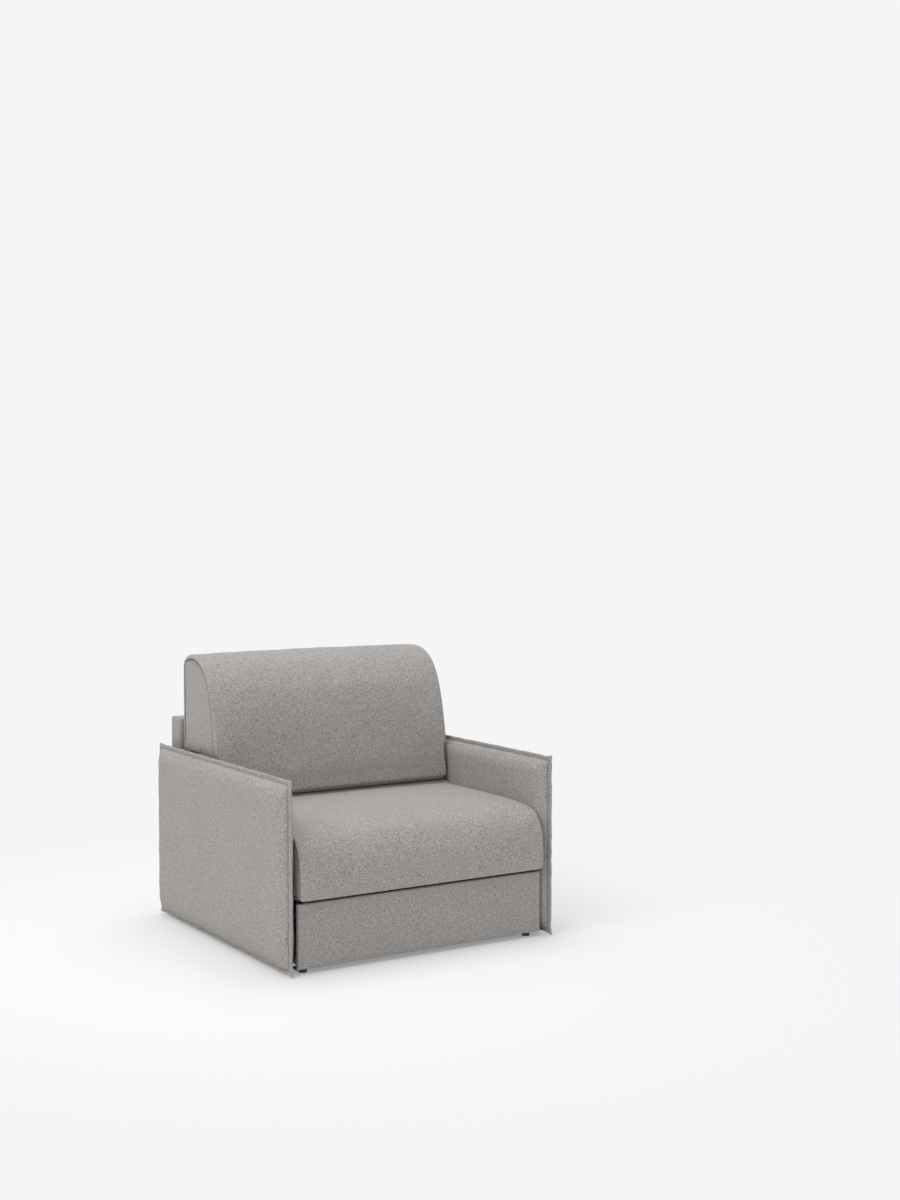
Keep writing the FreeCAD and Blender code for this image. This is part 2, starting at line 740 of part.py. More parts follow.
def outline_wire(across, corners):
    """A closed outline of straight lines and arcs at one X."""
    def point(corner):
        return FreeCAD.Vector(across, *corner)
    edges = []
    here = corners[0]
    for step in corners[1:] + [corners[0]]:
        if isinstance(step[0], tuple):
            middle, end = step
            edges.append(Part.Arc(point(here), point(middle), point(end)).toShape())
        else:
            end = step
            edges.append(Part.LineSegment(point(here), point(end)).toShape())
        here = end
    return Part.Wire(edges)


def crowned_loft(label, outline):
    """Lofts the outline through the stations; outline(bulge) takes 0 at a side, 1 in the middle."""
    half = size("cushion_half")
    wires = [outline_wire(half * station, outline(1 - station ** 4)) for station in STATIONS]
    piece = doc.addObject("Part::Feature", label)
    piece.Shape = Part.makeLoft(wires, True, False)
    return place(piece, label)


def seat_outline(bulge):
    """The seat cushion from the side: full front face, round front edge, nearly level top."""
    stack = size("rail_high") + size("wire") + size("mattress")
    base = size("rail_gap") + 2 * stack + size("cushion_rest")
    tilt = size("seat_face_tilt")
    face_swell = size("seat_face_radius") * (1 - math.sin(math.radians(tilt)))
    front = face_swell - size("seat_overhang") + (1 - bulge) * size("seat_side_draw")
    face = (size("seat_face_radius"), size("seat_face_turn"))
    edge = (size("seat_round_radius"), size("seat_round_turn"))
    top = (size("seat_top_radius"), tilt - face[1] - edge[1])
    run = smooth_run((front, base), tilt, [face, edge, top])
    summit = run[-1][1][1]
    rail_middle = size("mattress") + size("wire") + size("rail_high") / 2
    rear = size("back_plane") - rail_middle - size("seat_rear_gap")
    closed = run + [(rear, summit), (rear, base)]
    return lowered(closed, base, 1 - (1 - bulge) * size("seat_crown") / (summit - base))


def back_outline(bulge):
    """The back cushion from the side: straight leaning face, round shoulder, upright rear."""
    base = size("back_bottom")
    tilt = size("back_face_tilt")
    rear = size("back_plane") + size("back_cover")
    rear_round = size("back_rear_radius")
    front = size("back_front") + (1 - bulge) * size("back_side_draw")
    shoulder = (size("back_shoulder_radius"), size("back_shoulder_turn"))
    edge = (size("back_round_radius"), size("back_round_turn"))
    top = (size("back_top_radius"), tilt - shoulder[1] - edge[1])
    run = smooth_run((front, base), tilt, [(size("back_face_length"), 0), shoulder, edge, top])
    along, summit = run[-1][1]
    level = (rear - rear_round - along, 0)
    closed = run + smooth_run((along, summit), 0, [level, (rear_round, 90)])[1:]
    closed.append((rear, base))
    return lowered(closed, base, 1 - (1 - bulge) * size("back_crown") / (summit - base))


def back_cushion(label):
    """The cushion opened from behind for the rail frame and mattress that it wraps."""
    whole = crowned_loft(f"{label}_whole", back_outline)
    recess_front = f"{BACK_RAIL_FRONT} - recess_gap"
    below = "back_bottom - cut_margin"
    beyond = f"{BACK_CUSHION_REAR} + cut_margin"
    recess = block(f"{label}_recess", (f"-({BACK_HALF} + recess_gap)", f"{BACK_HALF} + recess_gap"),
                   (recess_front, beyond), (below, "back_frame_top + cap_gap"))
    undercut = block(f"{label}_undercut", ("-(cushion_half + cut_margin)", "cushion_half + cut_margin"),
                     (recess_front, beyond), (below, "cheek_bottom"))
    return cut(label, whole, fused(f"{label}_opening", [recess, undercut]))


def build_base():
    """The arms, plinth, rear panel and steel base, which never move."""
    boards = arm_board("arm_board_right")
    covers = arm_cover("arm_cover_right")
    plate = side_plate("side_plate_right")
    front_foot = f"{PLINTH_REAR} + foot_setback"
    rear_foot = f"{REAR_PANEL_FRONT} - foot_setback"
    tube = ["base_tube_outside", f"-{PLATE_INNER}", PLATE_INNER, "base_tube_radius"]
    bore = ["base_tube_bore", f"-{PLATE_INNER}", PLATE_INNER, "base_tube_radius - base_tube_wall"]
    tube_place = ["base_tube_back", "bolt_height"]
    return [
        boards, mirrored(boards, "arm_board_left"),
        covers, mirrored(covers, "arm_cover_left"),
        plinth_board_block("plinth_board"), plinth_cover("plinth_cover"),
        rear_board_block("rear_panel_board"), rear_panel_cover("rear_panel_cover"),
        plate, mirrored(plate, "side_plate_left"),
        pair("arm_bolts", arm_bolt_row),
        group("corner_brackets", [
            pair("front_brackets", lambda label: corner_bracket(label, PLINTH_REAR, "+")),
            pair("rear_brackets", lambda label: corner_bracket(label, REAR_PANEL_FRONT, "-"))]),
        group("feet", [
            pair("front_feet", lambda label: foot_disc(label, front_foot)),
            pair("rear_feet", lambda label: foot_disc(label, rear_foot))]),
        cut("base_cross_tube", rod(*tube, *tube_place), rod(*bore, *tube_place)),
        group("lift_pins", [
            pair("front_lift_pins", lambda label: lift_pin(label, FRONT_BASE_Y)),
            pair("rear_lift_pins", lambda label: lift_pin(label, REAR_BASE_Y))])]


def build_lift(name, base, along):
    link = lift_link(f"{name}_link_right", base)
    return [link, mirrored(link, f"{name}_link_left"), lift_shaft(f"{name}_lift_shaft", along)]


def build_head():
    rail, cross = section_rails("head", HEAD_HALF, HEAD_ALONG, HEAD_UP, 1)
    mesh = mesh_sheet("head_mesh", HEAD_HALF, f"({HEAD_ALONG[1]} - {HEAD_ALONG[0]})")
    return [
        pair("head_side_rails", drilled_head_rail(rail)), cross,
        pair("head_hinge_plates", head_hinge_plate),
        place(mesh, "head_mesh", "0", SECTION_FRONT, HEAD_UP[1]),
        mattress_block("head_mattress", ("fold_front + mattress_gap", "head_frame_end"),
                       (f"{FOLD_Z} - mattress", f"{FOLD_Z} - fold_clear"))]


def build_seat():
    rail, cross = section_rails("seat", SEAT_HALF, SEAT_ALONG, SEAT_UP, 1)
    mesh = mesh_sheet("seat_mesh", SEAT_HALF, f"({SEAT_ALONG[1]} - {SEAT_ALONG[0]})")
    return [
        pair("seat_side_rails", rail), cross,
        pair("seat_hinge_plates", seat_hinge_plate),
        pair("fold_hinge_pins", lambda label: hinge_pin(
            label, f"{HEAD_HALF} - side_gap", f"{SEAT_PLATE_INNER} + hinge_thick", "fold_front", FOLD_Z)),
        pair("seat_lugs", seat_lug),
        pair("back_hinge_pins", lambda label: hinge_pin(
            label, SEAT_HALF, f"{BACK_HALF} + hinge_thick + side_gap", JOINT_Y, JOINT_Z)),
        pair("middle_legs", middle_leg), pair("middle_leg_tips", middle_leg_tip),
        place(mesh, "seat_mesh", "0", SECTION_FRONT, f"{FOLD_Z} + mattress"),
        mattress_block("seat_mattress", ("fold_front + mattress_gap", f"{JOINT_Y} - mattress_gap"),
                       (f"{FOLD_Z} + fold_clear", f"{FOLD_Z} + mattress")),
        crowned_loft("seat_cushion", seat_outline)]


def build_back():
    rail, cross = section_rails("back", BACK_HALF, BACK_ALONG, BACK_UP, 2)
    mesh = mesh_sheet("back_mesh", BACK_HALF, f"(back_frame_top - {BACK_RAIL_LOW})")
    turned(mesh, (1, 0, 0), "90")
    return [
        pair("back_side_rails", rail), cross,
        pair("back_lugs", back_lug), pair("foot_leg_pins", foot_leg_pin),
        place(mesh, "back_mesh", "0", "back_plane - mattress", BACK_RAIL_LOW),
        mattress_block("back_mattress", ("back_plane - mattress", "back_plane"),
                       (f"{JOINT_Z} + mattress_gap", "back_frame_top - mattress_inset")),
        back_cushion("back_cushion")]


def build_foot_legs():
    leg = foot_leg("foot_leg_right")
    tip = foot_leg_tip("foot_leg_tip_right")
    return [leg, mirrored(leg, "foot_leg_left"), tip, mirrored(tip, "foot_leg_tip_left")]


nodes = build_base()
nodes += build_lift("front", FRONT_BASE_Y, "front_lift") + build_lift("rear", REAR_BASE_Y, "rear_lift")
nodes += build_head() + build_seat() + build_back() + build_foot_legs()
doc.recompute()

for item in doc.Objects:
    if "Invalid" in item.State or "Error" in item.State:
        raise RuntimeError(f"{item.Label} did not build: {item.State}")
for node in nodes:
    if node.Shape.isNull() or not node.Shape.isValid():
        raise RuntimeError(f"{node.Label} has no valid shape")

os.makedirs("parts", exist_ok=True)
for node in nodes:
    node.Shape.exportStep(f"parts/{node.Label}.step")
print(f"{len(nodes)} nodes written")
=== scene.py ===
import math

import bmesh
import bpy
import numpy as np
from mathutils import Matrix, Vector


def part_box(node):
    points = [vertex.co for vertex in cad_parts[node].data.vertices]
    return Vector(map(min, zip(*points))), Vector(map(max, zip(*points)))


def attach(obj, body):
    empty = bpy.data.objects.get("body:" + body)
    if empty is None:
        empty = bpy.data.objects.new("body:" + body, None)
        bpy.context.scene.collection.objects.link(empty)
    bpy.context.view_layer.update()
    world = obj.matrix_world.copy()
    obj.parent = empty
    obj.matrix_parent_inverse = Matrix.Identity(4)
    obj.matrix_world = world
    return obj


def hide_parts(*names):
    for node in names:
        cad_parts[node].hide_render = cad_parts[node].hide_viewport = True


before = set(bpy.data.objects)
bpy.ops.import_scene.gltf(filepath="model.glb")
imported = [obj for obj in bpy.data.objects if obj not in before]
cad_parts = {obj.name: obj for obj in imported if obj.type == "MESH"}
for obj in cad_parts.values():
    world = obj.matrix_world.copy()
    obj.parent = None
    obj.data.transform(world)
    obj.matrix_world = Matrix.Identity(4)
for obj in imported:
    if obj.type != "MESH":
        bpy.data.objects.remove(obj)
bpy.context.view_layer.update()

# Lengths along the depth are written from the arms' front edge, as they were measured.
SETBACK = 0.456
CUSHION_HALF = 0.4215
NARROW_HALF = 0.4098
MIDDLE_STATIONS = 56
EDGE_ANGLES = (0, 18, 36, 54, 72, 90)
SIDE_SWELL = 0.0008
CAP_SCALES = (0.97, 0.92, 0.84, 0.75, 0.63, 0.5, 0.36, 0.22, 0.1)
PUFF_PRESSURE = 4
PUFF_FRAMES = 20
PUFF_CAP = 0.0035
PUCKER = 0.0009
PUCKER_REACH = 0.03
UNEVEN = 0.0011
STATION_PITCH = 0.014
# Each row of the seam: how far past its middle, how deep, how much painted shade. Lip, groove and top
# stitch.
SEAM_SECTION = ((-0.0046, 0.0, 0.0), (-0.0024, 0.0004, 0.3), (-0.0010, 0.0044, 1.0), (0.0012, 0.0046, 1.0),
                (0.0026, 0.0016, 0.4), (0.0046, 0.0009, 0.0), (0.0070, 0.0009, 0.0), (0.0081, 0.0021, 0.55),
                (0.0092, 0.0009, 0.0), (0.0120, 0.0006, 0.0))


# Shapes

def catmull_rom(points, step=0.001):
    """A closed curve through the points, sampled about every millimetre."""
    points = np.array(points, float)
    count = len(points)
    curve = []
    for i in range(count):
        p0, p1, p2, p3 = (points[(i + k) % count] for k in (-1, 0, 1, 2))
        length = float(np.linalg.norm(p2 - p1))
        samples = max(int(length / step), 2)
        reach = [max(float(np.linalg.norm(b - a)), 1e-6) ** 0.5 for a, b in ((p0, p1), (p1, p2), (p2, p3))]
        t0, t1 = 0.0, reach[0]
        t2 = t1 + reach[1]
        t3 = t2 + reach[2]
        for t in np.linspace(t1, t2, samples, endpoint=False):
            a1 = (t1 - t) / (t1 - t0) * p0 + (t - t0) / (t1 - t0) * p1
            a2 = (t2 - t) / (t2 - t1) * p1 + (t - t1) / (t2 - t1) * p2
            a3 = (t3 - t) / (t3 - t2) * p2 + (t - t2) / (t3 - t2) * p3
            b1 = (t2 - t) / (t2 - t0) * a1 + (t - t0) / (t2 - t0) * a2
            b2 = (t3 - t) / (t3 - t1) * a2 + (t - t1) / (t3 - t1) * a3
            curve.append((t2 - t) / (t2 - t1) * b1 + (t - t1) / (t2 - t1) * b2)
    return np.array(curve)


def even_ring(points, count, turn_share=0.004):
    """The closed curve in count points, closer together where it turns."""
    curve = catmull_rom(points)
    ahead = np.roll(curve, -1, axis=0) - curve
    lengths = np.linalg.norm(ahead, axis=1)
    heading = np.arctan2(ahead[:, 1], ahead[:, 0])
    turn = np.abs((np.roll(heading, -1) - heading + math.pi) % (2 * math.pi) - math.pi)
    effort = np.concatenate([[0.0], np.cumsum(lengths + turn_share * np.minimum(turn, 0.5) / 0.1)])
    wanted = np.linspace(0, effort[-1], count, endpoint=False)
    closed = np.vstack([curve, curve[:1]])
    return np.column_stack([np.interp(wanted, effort, closed[:, k]) for k in (0, 1)])


def ring_normals(ring):
    """Outward normals of a ring that runs clockwise seen from the right, up the front and over."""
    along = np.roll(ring, -1, axis=0) - np.roll(ring, 1, axis=0)
    along /= np.linalg.norm(along, axis=1)[:, None]
    return np.column_stack([-along[:, 1], along[:, 0]])


def bends(ring):
    """How sharply the ring turns outwards at each point, as one over the radius, spread a little."""
    ahead = np.roll(ring, -1, axis=0) - ring
    heading = np.arctan2(ahead[:, 1], ahead[:, 0])
    turn = (np.roll(heading, 1) - heading + math.pi) % (2 * math.pi) - math.pi
    lengths = np.linalg.norm(ahead, axis=1)
    curve = np.maximum(turn, 0) / (lengths + np.roll(lengths, 1)) * 2
    curve = np.maximum.reduce([np.roll(curve, k) for k in range(-3, 4)])
    return sum(np.roll(curve, k) for k in range(-3, 4)) / 7


def drawn_in(ring, normals, bend, inset):
    """The ring moved inwards by inset, less where it turns too sharply for that."""
    sharp = np.maximum(bend * 1.15, 1e-3)
    return ring - normals * (np.tanh(inset * sharp) / sharp)[:, None]


def smooth_step(low, high, value):
    """0 up to low, 1 from high, with a smooth rise between."""
    t = np.clip((np.asarray(value, float) - low) / (high - low), 0, 1)
    return t * t * (3 - 2 * t)


def new_object(name, vertices, faces, surface, slot=None):
    """A smooth-shaded mesh object with its faces turned outwards."""
    mesh = bpy.data.meshes.new(name)
    mesh.from_pydata([tuple(v) for v in vertices], [], [tuple(f) for f in faces])
    mesh.validate()
    obj = bpy.data.objects.new(name, mesh)
    bpy.context.scene.collection.objects.link(obj)
    work = bmesh.new()
    work.from_mesh(mesh)
    bmesh.ops.recalc_face_normals(work, faces=work.faces)
    work.to_mesh(mesh)
    work.free()
    mesh.polygons.foreach_set("use_smooth", [True] * len(mesh.polygons))
    mesh.materials.append(surface)
    return obj


def paint_seam_shade(obj, values):
    """Stores painted seam shade for each point, which the fabric shows as a darker line."""
    layer = obj.data.attributes.new("seam", "FLOAT", "POINT")
    layer.data.foreach_set("value", np.asarray(values, np.float32))


def coordinates(obj):
    """The points of the object's own mesh."""
    flat = np.zeros(len(obj.data.vertices) * 3, np.float32)
    obj.data.vertices.foreach_get("co", flat)
    return flat.reshape(-1, 3)


def apply_modifiers(obj):
    """Bakes the object's modifiers into its mesh."""
    graph = bpy.context.evaluated_depsgraph_get()
    done = bpy.data.meshes.new_from_object(obj.evaluated_get(graph))
    old = obj.data
    obj.modifiers.clear()
    obj.data = done
    bpy.data.meshes.remove(old)
    done.name = obj.name
    done.polygons.foreach_set("use_smooth", [True] * len(done.polygons))


def subdivide(obj):
    """Rounds the mesh with one level of subdivision."""
    modifier = obj.modifiers.new("round", "SUBSURF")
    modifier.levels = 1
    modifier.render_levels = 1
    apply_modifiers(obj)


def puff(obj, pinned):
    """Blows the free part of a padded cover up as cloth, moving no point past the cap."""
    start = coordinates(obj).copy()
    group = obj.vertex_groups.new(name="held")
    for weight in sorted(set(np.round(pinned, 2))):
        chosen = np.nonzero(np.round(pinned, 2) == weight)[0]
        group.add([int(i) for i in chosen], float(weight), "REPLACE")
    cloth = obj.modifiers.new("cloth", "CLOTH")
    settings = cloth.settings
    settings.quality = 6
    settings.mass = 0.35
    settings.tension_stiffness = 18
    settings.compression_stiffness = 18
    settings.shear_stiffness = 6
    settings.bending_stiffness = 0.8
    settings.use_pressure = True
    settings.uniform_pressure_force = PUFF_PRESSURE
    settings.vertex_group_mass = "held"
    settings.effector_weights.gravity = 0
    cloth.collision_settings.use_collision = False
    cloth.point_cache.frame_start = 1
    cloth.point_cache.frame_end = PUFF_FRAMES
    scene = bpy.context.scene
    for step in range(1, PUFF_FRAMES + 1):
        scene.frame_set(step)
    graph = bpy.context.evaluated_depsgraph_get()
    result = obj.evaluated_get(graph).to_mesh()
    flat = np.zeros(len(result.vertices) * 3, np.float32)
    result.vertices.foreach_get("co", flat)
    move = flat.reshape(-1, 3) - start
    obj.evaluated_get(graph).to_mesh_clear()
    obj.modifiers.clear()
    obj.vertex_groups.clear()
    length = np.linalg.norm(move, axis=1)
    length[length < 1e-9] = 1e-9
    held = PUFF_CAP * np.tanh(length / PUFF_CAP) / length
    obj.data.vertices.foreach_set("co", (start + move * held[:, None]).astype(np.float32).ravel())
    obj.data.update()
    scene.frame_set(1)


def wander(a, b, seed):
    """A slow, fixed unevenness between about -1 and 1."""
    return (np.sin(a * 11.3 + b * 7.1 + seed * 1.7) + np.sin(a * 23.9 - b * 17.3 + seed * 2.9)
            + np.sin(-a * 37.1 + b * 31.7 + seed * 4.3) * 0.6) / 2.6


def seam_rows(ring, side, normals, bend, width, edge, seam):
    """The rows from the wrapped panel's edge round onto the side panel, past the seam."""
    rows = []
    for angle in np.radians(EDGE_ANGLES):
        across = side * (width - edge + edge * math.sin(angle))
        inset = edge - edge * math.cos(angle)
        rows.append(np.column_stack([across, drawn_in(ring, normals, bend, inset)]))
    for beside, dip, _ in SEAM_SECTION:
        place = drawn_in(ring, normals, bend, edge + seam + beside)
        rows.append(np.column_stack([side * (width - dip), place]))
    return rows


def middle_rows(start, end, normals, crown):
    """The wrapped panel's rows from one edge to the other, crowned in the middle."""
    rows = []
    for step in range(1, MIDDLE_STATIONS):
        part = step / MIDDLE_STATIONS
        place = start * (1 - part) + end * part
        swell = 1 - (2 * part - 1) ** 2
        place[:, 1:] += normals * (crown * swell)[:, None]
        rows.append(place)
    return rows


def cap_rows(section, side, half, centre):
    """The side panel's rows, from its seam in to its centre."""
    rows = []
    for scale in CAP_SCALES:
        place = centre + (section[:, 1:] - centre) * scale
        across = side * (half(place, side) + SIDE_SWELL * (1 - scale))
        rows.append(np.column_stack([across, place]))
    return rows


def tube_faces(rows, count):
    """Quads between closed rows of count points, and a fan onto one more point at each end."""
    faces = []
    for row in range(rows - 1):
        for i in range(count):
            j = (i + 1) % count
            faces.append((row * count + i, row * count + j, (row + 1) * count + j, (row + 1) * count + i))
    for hub, row in ((rows * count, 0), (rows * count + 1, rows - 1)):
        for i in range(count):
            faces.append((row * count + i, row * count + (i + 1) % count, hub))
    return faces


def loaf(name, ring, half, radius, seam, crown, free, centre):
    """A bolster of one wrapped panel between two flat side panels, with a seam round each side.

    half and radius take (ring, side), seam is how far behind the edge the seam runs, and crown
    and free are one number for every ring point.
    """
    normals = ring_normals(ring)
    count = len(ring)
    bend = bends(ring)
    left, right = (seam_rows(ring, side, normals, bend, half(ring, side), radius(ring, side), seam)
                   for side in (-1, 1))
    middle = middle_rows(left[0], right[0], normals, crown)
    left_cap = cap_rows(left[-1], -1, half, centre)
    right_cap = cap_rows(right[-1], 1, half, centre)
    stack = left_cap[::-1] + left[::-1] + middle + right + right_cap
    first = len(left_cap) + len(left)
    last = first + len(middle) - 1
    hubs = [stack[row].mean(axis=0) for row in (0, -1)]
    obj = new_object(name, np.vstack(stack + hubs), tube_faces(len(stack), count),
                     MATERIALS["cushion_fabric"], "cushion_fabric")

    # Painted shade along each seam's groove and top stitch.
    seam_shade_rows = [0.0] * len(EDGE_ANGLES) + [row[2] for row in SEAM_SECTION]
    row_shade_rows = ([0.0] * len(left_cap) + seam_shade_rows[::-1] + [0.0] * len(middle) + seam_shade_rows
                + [0.0] * len(right_cap))
    paint_seam_shade(obj, np.concatenate([np.repeat(row_shade_rows, count), np.zeros(len(hubs))]))

    row = np.repeat(np.arange(len(stack)), count)
    body = (row >= first) & (row <= last)
    loose = np.tile(free, len(stack)) * body
    puff(obj, np.concatenate([1 - loose, np.ones(len(hubs))]))

    place = coordinates(obj).copy()
    panel = place[:len(row)]
    from_seam = np.minimum(np.abs(row - first), np.abs(row - last)) * STATION_PITCH
    along = np.tile(np.arange(count), len(stack)) * 0.4
    wave = (np.sin(along * 2.3) + np.sin(along * 5.1 + 1.3) * 0.7 + np.sin(along * 0.9 + 0.4)) / 2.7
    pucker = PUCKER * wave * np.exp(-from_seam / PUCKER_REACH)
    uneven = UNEVEN * wander(panel[:, 0] * 2, panel[:, 2] * 2 + panel[:, 1], len(name))
    panel[:, 1:] += np.tile(normals, (len(stack), 1)) * ((pucker + uneven) * loose)[:, None]
    obj.data.vertices.foreach_set("co", place.astype(np.float32).ravel())
    subdivide(obj)
    return obj


def edge_steps(length, fine, coarse):
    """Positions along a side, fine near both ends and even between."""
    ends = [f for f in fine if f < length / 2 - coarse / 2]
    inner = length - 2 * ends[-1]
    count = max(int(round(inner / coarse)), 1)
    between = [ends[-1] + inner * k / count for k in range(1, count)]
    return np.array(ends + between + [length - f for f in reversed(ends)])


def slab(name, low, high, across, profile, slot, fine, coarse, shift=None, relief=None, groove=None):
    """A padded board: two sheets of points over one outline, joined round the edge.

    across is the axis of the thickness. profile gives half the thickness from the distances to the
    nearest edges, shift moves points in the sheet's plane, relief moves them along its thickness,
    and groove gives how much painted shade each point takes.
    """
    axes = [k for k in range(3) if k != across]
    spans = [edge_steps(high[k] - low[k], fine, coarse) for k in axes]
    u, v = np.meshgrid(spans[0], spans[1], indexing="ij")
    total = [high[k] - low[k] for k in axes]
    du = np.minimum(u, total[0] - u)
    dv = np.minimum(v, total[1] - v)
    half = profile(du, dv, u, v)
    offset_u, offset_v = shift(u, v, du, dv, total) if shift else (0 * u, 0 * v)
    middle = (low[across] + high[across]) / 2
    rows, columns = u.shape
    sheets = []
    for side in (-1, 1):
        place = np.zeros((rows, columns, 3))
        place[..., axes[0]] = low[axes[0]] + u + offset_u
        place[..., axes[1]] = low[axes[1]] + v + offset_v
        bump = relief(u, v, du, dv, side) if relief else 0
        place[..., across] = middle + side * (half + bump)
        sheets.append(place.reshape(-1, 3))
    size = rows * columns
    index = np.arange(size).reshape(rows, columns)
    faces = []
    for sheet in (0, 1):
        for i in range(rows - 1):
            for j in range(columns - 1):
                quad = [index[i, j], index[i + 1, j], index[i + 1, j + 1], index[i, j + 1]]
                faces.append([int(q) + sheet * size for q in quad])
    rim = ([index[i, 0] for i in range(rows)] + [index[rows - 1, j] for j in range(1, columns)]
           + [index[i, columns - 1] for i in range(rows - 2, -1, -1)]
           + [index[0, j] for j in range(columns - 2, 0, -1)])
    for a, b in zip(rim, rim[1:] + rim[:1]):
        faces.append((int(a), int(b), int(b) + size, int(a) + size))
    obj = new_object(name, np.vstack(sheets), faces, MATERIALS[slot], slot)
    # Painted shade along the sewn groove.
    if groove:
        dark = groove(du, dv).reshape(-1)
        paint_seam_shade(obj, np.concatenate([dark, dark]))
    subdivide(obj)
    return obj


def box_mesh(low, high):
    """The corners and faces of a box."""
    corners = [(x, y, z) for x in (low[0], high[0]) for y in (low[1], high[1]) for z in (low[2], high[2])]
    faces = [(0, 1, 3, 2), (4, 6, 7, 5), (0, 4, 5, 1), (2, 3, 7, 6), (0, 2, 6, 4), (1, 5, 7, 3)]
    return corners, faces


def open_rear(obj):
    """Cuts the room for the rail frame and mattress out of the back cushion's rear."""
    low = (-RECESS_HALF, RECESS_FRONT - SETBACK, RECESS_FOOT)
    high = (RECESS_HALF, RECESS_REAR - SETBACK, RECESS_TOP)
    cutter = new_object("recess", *box_mesh(low, high), MATERIALS["cushion_fabric"])
    modifier = obj.modifiers.new("open", "BOOLEAN")
    modifier.operation = "DIFFERENCE"
    modifier.solver = "EXACT"
    modifier.object = cutter
    apply_modifiers(obj)
    bpy.data.objects.remove(cutter)
    obj.data.set_sharp_from_angle(angle=math.radians(40))


# Materials

def material(name):
    """A new material, its node tree and its shader."""
    made = bpy.data.materials.new(name)
    made.use_nodes = True
    return made, made.node_tree, made.node_tree.nodes["Principled BSDF"]


def node(tree, kind, **values):
    """A new node with these settings."""
    made = tree.nodes.new(kind)
    for key, value in values.items():
        setattr(made, key, value)
    return made


def maths(tree, operation, first, second=None):
    """The result of an operation on numbers or sockets."""
    made = node(tree, "ShaderNodeMath", operation=operation)
    for socket, value in zip(made.inputs, (first, second)):
        if value is None:
            continue
        if isinstance(value, (int, float)):
            socket.default_value = value
        else:
            tree.links.new(value, socket)
    return made.outputs[0]


def noise(tree, coordinate, scale, detail=2.0, roughness=0.5):
    """Noise between 0 and 1 at the coordinate."""
    made = node(tree, "ShaderNodeTexNoise")
    made.inputs["Scale"].default_value = scale
    made.inputs["Detail"].default_value = detail
    made.inputs["Roughness"].default_value = roughness
    tree.links.new(coordinate, made.inputs["Vector"])
    return made.outputs[0]


def ramp(tree, value, stops):
    """The value turned into a colour, by stops of place and colour."""
    made = node(tree, "ShaderNodeValToRGB")
    band = made.color_ramp
    while len(band.elements) < len(stops):
        band.elements.new(0.5)
    for element, (place, colour) in zip(band.elements, stops):
        element.position = place
        element.color = (*colour, 1)
    tree.links.new(value, made.inputs[0])
    return made.outputs[0]


def mixed(tree, kind, factor, first, second):
    """Two colours mixed by a factor, each of them a number, a colour or a socket."""
    made = node(tree, "ShaderNodeMix", data_type="RGBA", blend_type=kind)
    for socket, value in ((made.inputs[0], factor), (made.inputs[6], first), (made.inputs[7], second)):
        if isinstance(value, (int, float)):
            socket.default_value = value
        elif isinstance(value, tuple):
            socket.default_value = (*value, 1)
        else:
            tree.links.new(value, socket)
    return made.outputs[2]


def stretched(tree, position, scale):
    """The position with its axes scaled apart, for streaks."""
    made = node(tree, "ShaderNodeMapping")
    made.inputs["Scale"].default_value = scale
    tree.links.new(position, made.inputs[0])
    return made.outputs[0]


def raise_surface(tree, shader, height, strength, distance):
    """Lets the height show as relief."""
    lift = node(tree, "ShaderNodeBump")
    lift.inputs["Strength"].default_value = strength
    lift.inputs["Distance"].default_value = distance
    tree.links.new(height, lift.inputs["Height"])
    tree.links.new(lift.outputs[0], shader.inputs["Normal"])


def weave(tree, position, pitch):
    """Crossing threads on every face: a wave along each axis, faded where the face looks that way."""
    parts = node(tree, "ShaderNodeSeparateXYZ")
    tree.links.new(position, parts.inputs[0])
    facing = node(tree, "ShaderNodeNewGeometry")
    normal = node(tree, "ShaderNodeSeparateXYZ")
    tree.links.new(facing.outputs["Normal"], normal.inputs[0])
    total = None
    for k in range(3):
        angle = maths(tree, "MULTIPLY", parts.outputs[k], 2 * math.pi / pitch)
        wave = maths(tree, "SINE", angle)
        away = maths(tree, "SUBTRACT", 1.0, maths(tree, "ABSOLUTE", normal.outputs[k]))
        part = maths(tree, "MULTIPLY", wave, away)
        total = part if total is None else maths(tree, "ADD", total, part)
    return total


# How dark the painted seam shade is and how strongly it covers the fabric.
SEAM_SHADE_TONE = 0.12
SEAM_SHADE_COVER = 0.72


